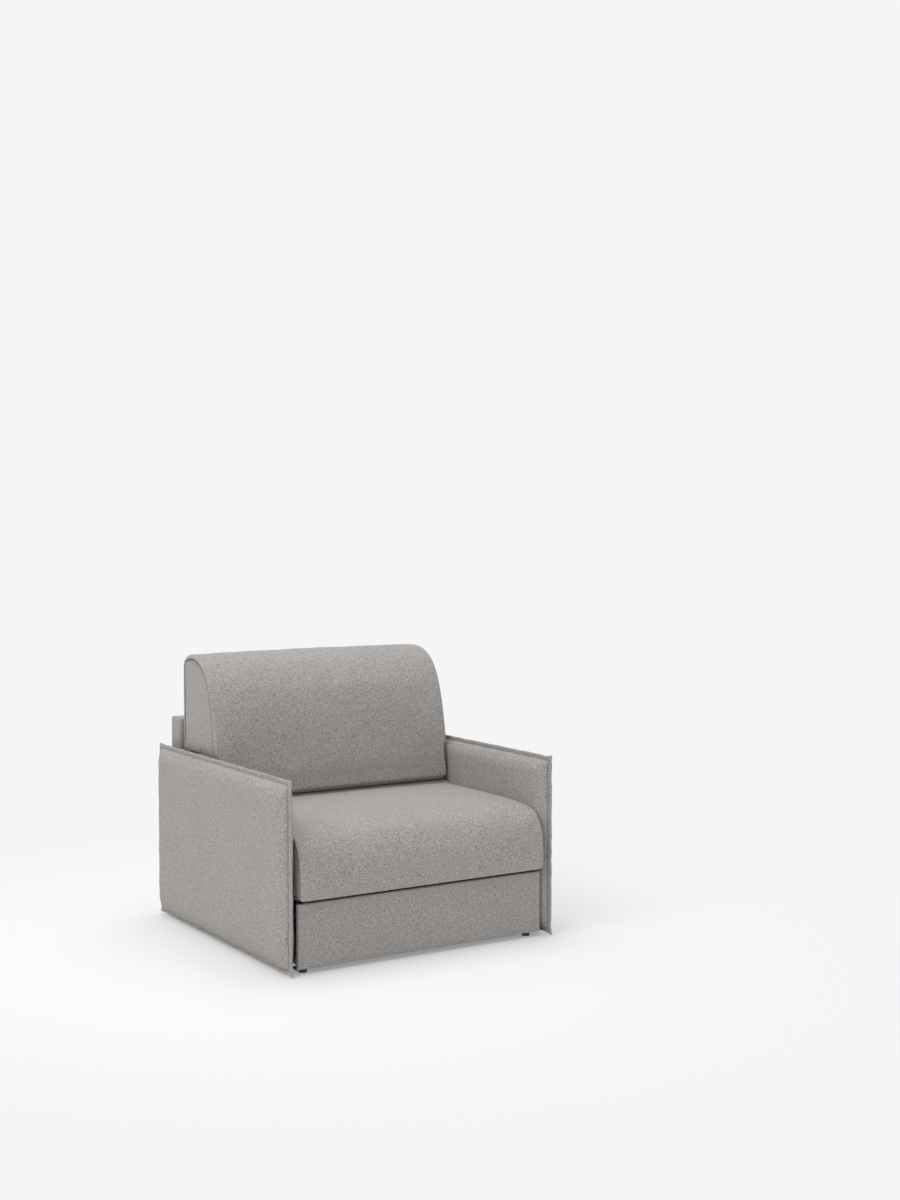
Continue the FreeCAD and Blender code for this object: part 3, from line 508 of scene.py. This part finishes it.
def fabric(name, colour, contrast, grain, pitch, bump, sheen):
    """A heathered woven cover: light and dark yarn flecks, slow colour drift, threads and fuzz, with
    painted shade along the seams.
    """
    made, tree, shader = material(name)
    position = node(tree, "ShaderNodeTexCoord").outputs["Object"]
    fleck = noise(tree, position, grain, 3.0, 0.62)
    dark = tuple(c * (1 - contrast) for c in colour)
    light = tuple(min(c * (1 + contrast), 1) for c in colour)
    heather = ramp(tree, fleck, ((0.3, dark), (0.5, colour), (0.7, light)))
    drift = noise(tree, position, 6.0, 3.0)
    tint = ramp(tree, drift, ((0.3, (0.955, 0.955, 0.955)), (0.7, (1.0, 1.0, 1.0))))
    toned = mixed(tree, "MULTIPLY", 1.0, heather, tint)
    speck = noise(tree, position, grain * 2.6, 1.0)
    spot = ramp(tree, speck, ((0.36, (0.8, 0.8, 0.8)), (0.44, (1.0, 1.0, 1.0))))
    toned = mixed(tree, "MULTIPLY", 0.6, toned, spot)
    # Painted shade: the fabric darkens where the seam attribute marks a groove.
    seam = node(tree, "ShaderNodeAttribute", attribute_name="seam").outputs["Fac"]
    shade = tuple(c * SEAM_SHADE_TONE for c in colour)
    toned = mixed(tree, "MIX", maths(tree, "MULTIPLY", seam, SEAM_SHADE_COVER), toned, shade)
    tree.links.new(toned, shader.inputs["Base Color"])
    shader.inputs["Roughness"].default_value = 0.94
    shader.inputs["Specular IOR Level"].default_value = 0.18
    shader.inputs["Sheen Weight"].default_value = sheen
    shader.inputs["Sheen Roughness"].default_value = 0.55
    threads = weave(tree, position, pitch)
    fuzz = noise(tree, position, 1400.0, 2.0)
    height = maths(tree, "ADD", maths(tree, "MULTIPLY", threads, 0.35), maths(tree, "MULTIPLY", fuzz, 1.1))
    height = maths(tree, "ADD", height, maths(tree, "MULTIPLY", fleck, 1.3))
    raise_surface(tree, shader, height, bump, 0.0006)
    return made


def painted(name, colour, roughness, metallic=0.0, wear=None):
    """Coated metal: fine orange peel, dust, and scuffs that thin the coat on edges."""
    made, tree, shader = material(name)
    position = node(tree, "ShaderNodeTexCoord").outputs["Object"]
    dust = noise(tree, position, 24.0, 4.0)
    paler = tuple(min(c * 1.5 + 0.012, 1) for c in colour)
    toned = ramp(tree, dust, ((0.35, colour), (0.75, paler)))
    if wear:
        edge = node(tree, "ShaderNodeNewGeometry").outputs["Pointiness"]
        scuff = noise(tree, position, 160.0, 3.0)
        worn = maths(tree, "MULTIPLY", maths(tree, "GREATER_THAN", edge, 0.56),
                     maths(tree, "GREATER_THAN", scuff, 0.55))
        toned = mixed(tree, "MIX", worn, toned, wear)
    tree.links.new(toned, shader.inputs["Base Color"])
    shader.inputs["Metallic"].default_value = metallic
    rough = maths(tree, "ADD", roughness - 0.06, maths(tree, "MULTIPLY", dust, 0.12))
    tree.links.new(rough, shader.inputs["Roughness"])
    peel = noise(tree, position, 420.0, 2.0)
    raise_surface(tree, shader, peel, 0.18, 0.0003)
    return made


def brushed(name, colour):
    """Bright zinc-plated steel with drawn streaks across the part."""
    made, tree, shader = material(name)
    position = node(tree, "ShaderNodeTexCoord").outputs["Object"]
    streak = noise(tree, stretched(tree, position, (30.0, 900.0, 900.0)), 1.0, 3.0)
    toned = ramp(tree, streak, ((0.3, tuple(c * 0.8 for c in colour)), (0.7, colour)))
    tree.links.new(toned, shader.inputs["Base Color"])
    shader.inputs["Metallic"].default_value = 1.0
    rough = maths(tree, "ADD", 0.24, maths(tree, "MULTIPLY", streak, 0.2))
    tree.links.new(rough, shader.inputs["Roughness"])
    raise_surface(tree, shader, streak, 0.12, 0.0002)
    return made


def wood(name):
    """Pale plywood: long grain along the depth, darker rings and fine pores."""
    made, tree, shader = material(name)
    position = node(tree, "ShaderNodeTexCoord").outputs["Object"]
    ring = node(tree, "ShaderNodeTexWave", bands_direction="Z")
    ring.inputs["Scale"].default_value = 2.2
    ring.inputs["Distortion"].default_value = 9.0
    ring.inputs["Detail"].default_value = 3.0
    tree.links.new(stretched(tree, position, (9.0, 1.1, 9.0)), ring.inputs["Vector"])
    grain = ramp(tree, ring.outputs["Fac"], ((0.0, (0.46, 0.31, 0.17)), (0.5, (0.6, 0.43, 0.26)),
                                             (1.0, (0.66, 0.5, 0.32))))
    pores = noise(tree, stretched(tree, position, (700.0, 20.0, 700.0)), 1.0, 2.0)
    spot = ramp(tree, pores, ((0.34, (0.7, 0.7, 0.7)), (0.48, (1.0, 1.0, 1.0))))
    tree.links.new(mixed(tree, "MULTIPLY", 1.0, grain, spot), shader.inputs["Base Color"])
    shader.inputs["Roughness"].default_value = 0.62
    raise_surface(tree, shader, pores, 0.2, 0.0004)
    return made


GREY = (0.405, 0.386, 0.373)
MATERIALS = {
    "cover_fabric": fabric("cover_weave", GREY, 0.43, 235.0, 0.0019, 0.55, 0.12),
    "cushion_fabric": fabric("cushion_weave", GREY, 0.43, 235.0, 0.0019, 0.55, 0.12),
    "mattress_fabric": fabric("ticking", (0.66, 0.645, 0.61), 0.07, 240.0, 0.0026, 0.5, 0.1),
    "board_wood": wood("plywood"),
    "black_steel": painted("black_enamel", (0.021, 0.021, 0.023), 0.42, wear=(0.16, 0.15, 0.15)),
    "link_steel": painted("link_enamel", (0.034, 0.034, 0.036), 0.38, wear=(0.2, 0.19, 0.19)),
    "bright_steel": brushed("zinc_steel", (0.62, 0.62, 0.63)),
    "mesh_steel": painted("mesh_enamel", (0.18, 0.18, 0.185), 0.4, 0.5),
    "black_plastic": painted("moulded_plastic", (0.036, 0.034, 0.033), 0.55),
}


# The cushions

def from_flange(points):
    """Measured (y, z) points in the frame of the object."""
    return [(y - SETBACK, z) for y, z in points]


SEAT_POINTS = from_flange([
    (-0.0030, 0.2230), (-0.0031, 0.2505), (-0.0022, 0.2820), (0.0012, 0.3125), (0.0075, 0.3400),
    (0.0185, 0.3650), (0.0355, 0.3835), (0.0560, 0.3942), (0.0860, 0.4018), (0.1300, 0.4058),
    (0.1900, 0.4084), (0.2600, 0.4096), (0.3360, 0.4100), (0.4760, 0.4092), (0.5250, 0.4092),
    (0.5400, 0.4102), (0.5540, 0.4160), (0.5680, 0.4192), (0.5900, 0.4198), (0.6500, 0.4190),
    (0.6760, 0.4080), (0.6840, 0.3800), (0.6850, 0.3300), (0.6850, 0.2600),
    (0.6845, 0.2200), (0.6780, 0.2126), (0.6400, 0.2124), (0.4500, 0.2124), (0.2000, 0.2124),
    (0.0400, 0.2124), (0.0080, 0.2128), (0.0005, 0.2150)])
SEAT_COUNT = 170
SEAT_SEAM = 0.0036
SEAT_EDGE = 0.006
SEAT_BOTTOM = 0.2126
SEAT_CORNERS = {-1: 0.007, 1: 0.019}
SEAT_CENTRE = np.array([0.30 - SETBACK, 0.31])


def seat_half(ring, side):
    """Full between the arms, narrower at the rear for the folding legs, rounded low in front."""
    rear = smooth_step(0.555 - SETBACK, 0.59 - SETBACK, ring[:, 0])
    full = CUSHION_HALF - (CUSHION_HALF - NARROW_HALF) * rear
    corner = SEAT_CORNERS[side]
    up = np.clip(ring[:, 1] - SEAT_BOTTOM, 0, corner)
    back = corner - np.sqrt(np.maximum(corner ** 2 - (corner - up) ** 2, 0))
    front = 1 - smooth_step(0.02 - SETBACK, 0.06 - SETBACK, ring[:, 0])
    return full - back * front


def seat_radius(ring, side):
    """The same edge all round."""
    return np.full(len(ring), SEAT_EDGE)


seat_ring = even_ring(SEAT_POINTS, SEAT_COUNT)
seat_face = (smooth_step(0.225, 0.26, seat_ring[:, 1])
             * (1 - smooth_step(0.655 - SETBACK, 0.68 - SETBACK, seat_ring[:, 0])))
seat_under = 1 - smooth_step(0.52 - SETBACK, 0.56 - SETBACK, seat_ring[:, 0])
seat_crown = seat_face * seat_under * np.where(seat_ring[:, 0] < 0.03 - SETBACK, 0.003, 0.0045)
seat = loaf("seat_cushion_cover", seat_ring, seat_half, seat_radius, SEAT_SEAM, seat_crown,
            seat_face * seat_under, SEAT_CENTRE)
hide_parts("seat_cushion")
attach(seat, "seat_section")

RECESS_HALF = 0.4038
RECESS_FRONT = 0.7307
RECESS_TOP = 0.7962
RECESS_FOOT = 0.40
RECESS_REAR = 0.90
BACK_POINTS = from_flange([
    (0.5388, 0.4400), (0.5448, 0.4828), (0.5522, 0.5240), (0.5606, 0.5690), (0.5706, 0.6238),
    (0.5838, 0.6814), (0.5992, 0.7325), (0.6185, 0.7770), (0.6427, 0.8115), (0.6770, 0.8400),
    (0.7244, 0.8572), (0.7780, 0.8615), (0.7960, 0.8580), (0.8105, 0.8480), (0.8190, 0.8330),
    (0.8220, 0.8140), (0.8225, 0.7800), (0.8225, 0.7000), (0.8225, 0.6200), (0.8225, 0.5450),
    (0.8210, 0.5330), (0.8150, 0.5302), (0.7900, 0.5300), (0.7400, 0.5300)])
BACK_FOOT = from_flange([(RECESS_FRONT, 0.5290), (RECESS_FRONT, 0.4800), (RECESS_FRONT, 0.4225)])
BACK_UNDER = from_flange([(0.7000, 0.4214), (0.6000, 0.4212), (0.5700, 0.4213), (0.5590, 0.4232),
                          (0.5535, 0.4285), (0.5500, 0.4322), (0.5455, 0.4330), (0.5408, 0.4352)])
BACK_COUNT = 170
BACK_CENTRE = np.array([0.665 - SETBACK, 0.61])


def back_half(ring, side):
    """Full above the arms, narrower where the legs swing."""
    return NARROW_HALF + (CUSHION_HALF - NARROW_HALF) * smooth_step(0.536, 0.562, ring[:, 1])


def back_radius(ring, side):
    """A firm edge in front, a softer one at the rear."""
    rear = smooth_step(0.74 - SETBACK, 0.79 - SETBACK, ring[:, 0]) * smooth_step(0.54, 0.56, ring[:, 1])
    return 0.0075 + 0.010 * rear


back_ring = even_ring(BACK_POINTS + BACK_FOOT + BACK_UNDER, BACK_COUNT)
back_face = (smooth_step(0.445, 0.50, back_ring[:, 1])
             * (1 - smooth_step(0.775 - SETBACK, 0.80 - SETBACK, back_ring[:, 0])))
back_crown = back_face * 0.004
# The front panel wraps round the side, further towards the seat.
back_seam = 0.0036 + 0.0125 * ((1 - smooth_step(0.64 - SETBACK, 0.68 - SETBACK, back_ring[:, 0]))
                               * (1 - smooth_step(0.58, 0.78, back_ring[:, 1])))
back = loaf("back_cushion_cover", back_ring, back_half, back_radius, back_seam, back_crown,
            back_face, BACK_CENTRE)
open_rear(back)
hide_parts("back_cushion")
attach(back, "back_section")


# The arms

FLANGE = 0.0125
ARM_ROUND = 0.046
ARM_HEIGHT = 0.5545
ARM_FINE = (0.0, 0.0022, 0.006, 0.0095, 0.0115, 0.0125, 0.0140, 0.0165, 0.0205, 0.025, 0.031, 0.039,
            0.048, 0.060)
ARM_HALF_THICK = 0.0275
FLANGE_HALF = 0.0036
BOARD_INSET = 0.0285
BOARD_FOOT = 0.0145
BOARD_HALF = 0.0106
DIMPLE_INSET = 0.034


def arm_profile(du, dv, u, v):
    """Half thickness of the arm pad: sewn flange, groove, then a full round onto the flat."""
    nearest = np.minimum(du, dv)
    qu = np.clip((du - FLANGE) / ARM_ROUND, 0, 1)
    qv = np.clip((dv - FLANGE) / ARM_ROUND, 0, 1)
    rim = np.clip(((1 - qu) ** 7 + (1 - qv) ** 7) ** (1 / 7), 0, 1)
    pillow = FLANGE_HALF * 0.8 + (ARM_HALF_THICK - FLANGE_HALF * 0.8) * (1 - rim ** 2.0) ** 0.72
    flange = (FLANGE_HALF - 0.0012 * (1 - smooth_step(0, 0.003, nearest))
              - 0.0007 * smooth_step(0.0095, FLANGE, nearest))
    board = (du > BOARD_INSET) & (v > BOARD_FOOT) & (ARM_HEIGHT - v > BOARD_INSET)
    over_board = np.where(board, np.maximum(pillow, BOARD_HALF), pillow)
    return np.where(nearest <= FLANGE, flange, over_board)


def arm_shift(seed):
    """The flange's edge wanders a little and ends in small ears at the corners."""
    def moved(u, v, du, dv, total):
        near_u = np.exp(-du / 0.012)
        near_v = np.exp(-dv / 0.012)
        side_u = np.where(u < total[0] / 2, -1, 1)
        side_v = np.where(v < total[1] / 2, -1, 1)
        ripple_u = 0.0009 * wander(v * 4, side_u * 3.0, seed) + 0.0006 * np.sin(v * 95 + seed)
        ripple_v = 0.0009 * wander(u * 4, side_v * 5.0, seed) + 0.0005 * np.sin(u * 83 + seed)
        corner = np.exp(-(du ** 2 + dv ** 2) / 0.011 ** 2)
        pinch_u = -0.0016 * np.exp(-((dv - DIMPLE_INSET) / 0.018) ** 2)
        pinch_v = -0.0014 * np.exp(-((du - DIMPLE_INSET) / 0.018) ** 2)
        out_u = side_u * (near_u * (ripple_u + pinch_u) + 0.0026 * corner)
        out_v = side_v * (near_v * (ripple_v + pinch_v) + 0.0026 * corner)
        return out_u, out_v
    return moved


def arm_relief(outer_side, seed):
    """Puckers beside the sewn groove, a dimple inside each corner and slow unevenness outside."""
    def moved(u, v, du, dv, side):
        nearest = np.minimum(du, dv)
        fade = smooth_step(FLANGE, FLANGE + 0.008, nearest) * np.exp(-np.maximum(nearest - 0.02, 0) / 0.03)
        along = np.where(du < dv, v, u)
        pucker = 0.0009 * fade * (np.sin(along * 61 + seed) + np.sin(along * 113 + 2 * seed) * 0.6)
        dimple = -0.0042 * np.exp(-((du - DIMPLE_INSET) ** 2 + (dv - DIMPLE_INSET) ** 2) / 0.013 ** 2)
        inside = smooth_step(0.03, 0.08, nearest)
        slow = 0.0007 * wander(u * 2.4, v * 2.4, seed) * inside
        flange = 1 - smooth_step(0.01, 0.014, nearest)
        bend = 0.0011 * flange * wander(along * 5, 0, seed + 3) * side
        if side == outer_side:
            return pucker + dimple + slow + bend
        return np.minimum(pucker + dimple + bend, np.where(nearest > 0.03, 0, 1))
    return moved


def arm_groove_shade(du, dv):
    """Painted shade along the sewn line between flange and pad."""
    return 0.45 * np.exp(-((np.minimum(du, dv) - FLANGE) / 0.0016) ** 2)


for word, side, seed in (("left", -1, 1.0), ("right", 1, 2.3)):
    low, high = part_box(f"arm_cover_{word}")
    arm = slab(f"arm_{word}_pad", low, high, 0, arm_profile, "cover_fabric", ARM_FINE, 0.015,
               arm_shift(seed), arm_relief(side, seed), arm_groove_shade)
    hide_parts(f"arm_cover_{word}")
    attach(arm, "base")


# The plinth, the rear panel and the mattresses

def rounded_profile(half, edge, crown, reach):
    """Half thickness of a pad with a round edge and a slight crown."""
    def made(du, dv, u, v):
        qu = 1 - np.clip(du / edge, 0, 1)
        qv = 1 - np.clip(dv / edge, 0, 1)
        rim = np.clip(np.sqrt(qu ** 2 + qv ** 2), 0, 1)
        rise = crown * (1 - smooth_step(0, reach, du) * smooth_step(0, reach, dv))
        return half - rise - edge * (1 - np.sqrt(1 - np.minimum(rim, 1) ** 2))
    return made


def quilted_profile(half, edge, crown, cell, depth):
    """Half thickness of a mattress: round edges and shallow sewn channels across it."""
    plain = rounded_profile(half, edge, crown, 0.11)

    def made(du, dv, u, v):
        channel = depth * (np.exp(-((np.mod(v + cell / 2, cell) - cell / 2) / 0.009) ** 2))
        inside = smooth_step(0.012, 0.03, np.minimum(du, dv))
        return plain(du, dv, u, v) - channel * inside
    return made


PLINTH_FINE = (0.0, 0.0012, 0.0028, 0.0048, 0.008, 0.014)
PANEL_FINE = (0.0, 0.002, 0.005, 0.009, 0.014, 0.021, 0.03)
MATTRESS_FINE = (0.0, 0.0025, 0.006, 0.011, 0.018, 0.026)
PLINTH_TRIM = 0.0004
PLINTH_RISE = 0.007
PANEL_SWELL = 0.010
PANEL_RISE = 0.004
MATTRESS_EDGE = 0.016
MATTRESS_CROWN = 0.0012
CHANNEL_PITCH = 0.105
CHANNEL_DEPTH = 0.0026

low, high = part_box("plinth_cover")
high[1] -= PLINTH_TRIM
high[2] += PLINTH_RISE
plinth = slab("plinth_padding", low, high, 1,
              rounded_profile((high[1] - low[1]) / 2, 0.0045, 0.0004, 0.03), "cover_fabric",
              PLINTH_FINE, 0.02)
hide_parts("plinth_cover")
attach(plinth, "base")


def panel_relief(u, v, du, dv, side):
    """Slow unevenness of the padding over the rear board."""
    return 0.0009 * wander(u * 2, v * 2, 4.1) * smooth_step(0.02, 0.06, np.minimum(du, dv))


low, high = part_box("rear_panel_cover")
high[1] += PANEL_SWELL
high[2] += PANEL_RISE
panel = slab("rear_panel_padding", low, high, 1,
             rounded_profile((high[1] - low[1]) / 2, 0.014, 0.0025, 0.09), "cover_fabric",
             PANEL_FINE, 0.022, relief=panel_relief)
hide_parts("rear_panel_cover")
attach(panel, "base")

for word, across in (("head", 2), ("seat", 2), ("back", 1)):
    low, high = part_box(f"{word}_mattress")
    half = (high[across] - low[across]) / 2
    mattress = slab(f"{word}_mattress_pad", low, high, across,
                    quilted_profile(half, MATTRESS_EDGE, MATTRESS_CROWN, CHANNEL_PITCH, CHANNEL_DEPTH),
                    "mattress_fabric", MATTRESS_FINE, 0.012)
    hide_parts(f"{word}_mattress")
    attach(mattress, f"{word}_section")


# The solids that are shown as they are

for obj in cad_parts.values():
    for held in obj.material_slots:
        held.material = MATERIALS[held.material.name.split(".")[0]]


# Floor, light and camera

def sees_backdrop(tree):
    """1 for a camera, glossy or transmission ray, and 0 for any other."""
    path = node(tree, "ShaderNodeLightPath")
    seen = maths(tree, "MAXIMUM", path.outputs["Is Camera Ray"], path.outputs["Is Glossy Ray"])
    return maths(tree, "MAXIMUM", seen, path.outputs["Is Transmission Ray"])


def mixed_shader(tree, factor, first, second):
    """Two shaders mixed by a factor."""
    made = node(tree, "ShaderNodeMixShader")
    for socket, value in zip(made.inputs, (factor, first, second)):
        tree.links.new(value, socket)
    return made.outputs[0]


def backdrop_material(name, tone, shadow_reach):
    """Keeps the object's soft shadow near it and reaches the plain backdrop tone further out."""
    made, tree, shader = material(name)
    tree.nodes.remove(shader)
    position = node(tree, "ShaderNodeTexCoord").outputs["Object"]
    distance = node(tree, "ShaderNodeVectorMath", operation="LENGTH")
    tree.links.new(position, distance.inputs[0])
    spread = node(tree, "ShaderNodeMapRange", interpolation_type="SMOOTHSTEP")
    spread.inputs["From Min"].default_value = shadow_reach[0]
    spread.inputs["From Max"].default_value = shadow_reach[1]
    spread.inputs["To Min"].default_value = 0.3
    tree.links.new(distance.outputs["Value"], spread.inputs["Value"])
    cloth = node(tree, "ShaderNodeBsdfDiffuse")
    cloth.inputs["Color"].default_value = (0.9, 0.9, 0.9, 1)
    glow = node(tree, "ShaderNodeEmission")
    glow.inputs["Color"].default_value = (tone, tone, tone, 1)
    factor = maths(tree, "MULTIPLY", spread.outputs[0], sees_backdrop(tree))
    shown = mixed_shader(tree, factor, cloth.outputs[0], glow.outputs[0])
    tree.links.new(shown, tree.nodes["Material Output"].inputs["Surface"])
    return made


BACKDROP = 0.913
FLOOR_HALF = 12
SHADOW_REACH = (0.9, 1.9)
floor = new_object("floor", [(x, y, 0) for x, y in ((-FLOOR_HALF, -FLOOR_HALF), (FLOOR_HALF, -FLOOR_HALF),
                                                    (FLOOR_HALF, FLOOR_HALF), (-FLOOR_HALF, FLOOR_HALF))],
                   [(0, 1, 2, 3)], backdrop_material("studio_floor", BACKDROP, SHADOW_REACH))

world = bpy.data.worlds.new("studio")
bpy.context.scene.world = world
world.use_nodes = True
tree = world.node_tree
backing = tree.nodes["Background"]
backing.inputs["Color"].default_value = (0.985, 0.99, 1.0, 1)
backing.inputs["Strength"].default_value = 0.56
seen_world = node(tree, "ShaderNodeBackground")
seen_world.inputs["Color"].default_value = (BACKDROP, BACKDROP, BACKDROP, 1)
seen_world.inputs["Strength"].default_value = 1.0
shown = mixed_shader(tree, sees_backdrop(tree), backing.outputs[0], seen_world.outputs[0])
tree.links.new(shown, tree.nodes["World Output"].inputs["Surface"])


def lamp(name, place, aim, size, energy):
    """A square soft box at place that looks at aim."""
    data = bpy.data.lights.new(name, "AREA")
    data.shape = "SQUARE"
    data.size = size
    data.energy = energy
    obj = bpy.data.objects.new(name, data)
    bpy.context.scene.collection.objects.link(obj)
    obj.location = place
    obj.rotation_euler = (Vector(aim) - Vector(place)).to_track_quat("-Z", "Y").to_euler()
    obj.visible_camera = False
    return obj


lamp("key", (-4.6, -1.8, 6.0), (0, 0, 0.3), 4.6, 165)
lamp("top", (0.4, 1.2, 7.6), (0, 0, 0.3), 5.0, 235)

CAMERA_LENS = 49.95
CAMERA_PLACE = (-2.5671, -4.147 - SETBACK, 1.302)
CAMERA_TILT = 87.135
CAMERA_TURN = -32.53
camera_data = bpy.data.cameras.new("camera")
camera_data.lens = CAMERA_LENS
camera_data.sensor_fit = "VERTICAL"
camera_data.sensor_height = 36
camera_data.clip_end = 60
camera = bpy.data.objects.new("camera", camera_data)
bpy.context.scene.collection.objects.link(camera)
camera.location = CAMERA_PLACE
camera.rotation_euler = (math.radians(CAMERA_TILT), 0, math.radians(CAMERA_TURN))
bpy.context.scene.camera = camera
bpy.context.scene.view_settings.view_transform = "Standard"
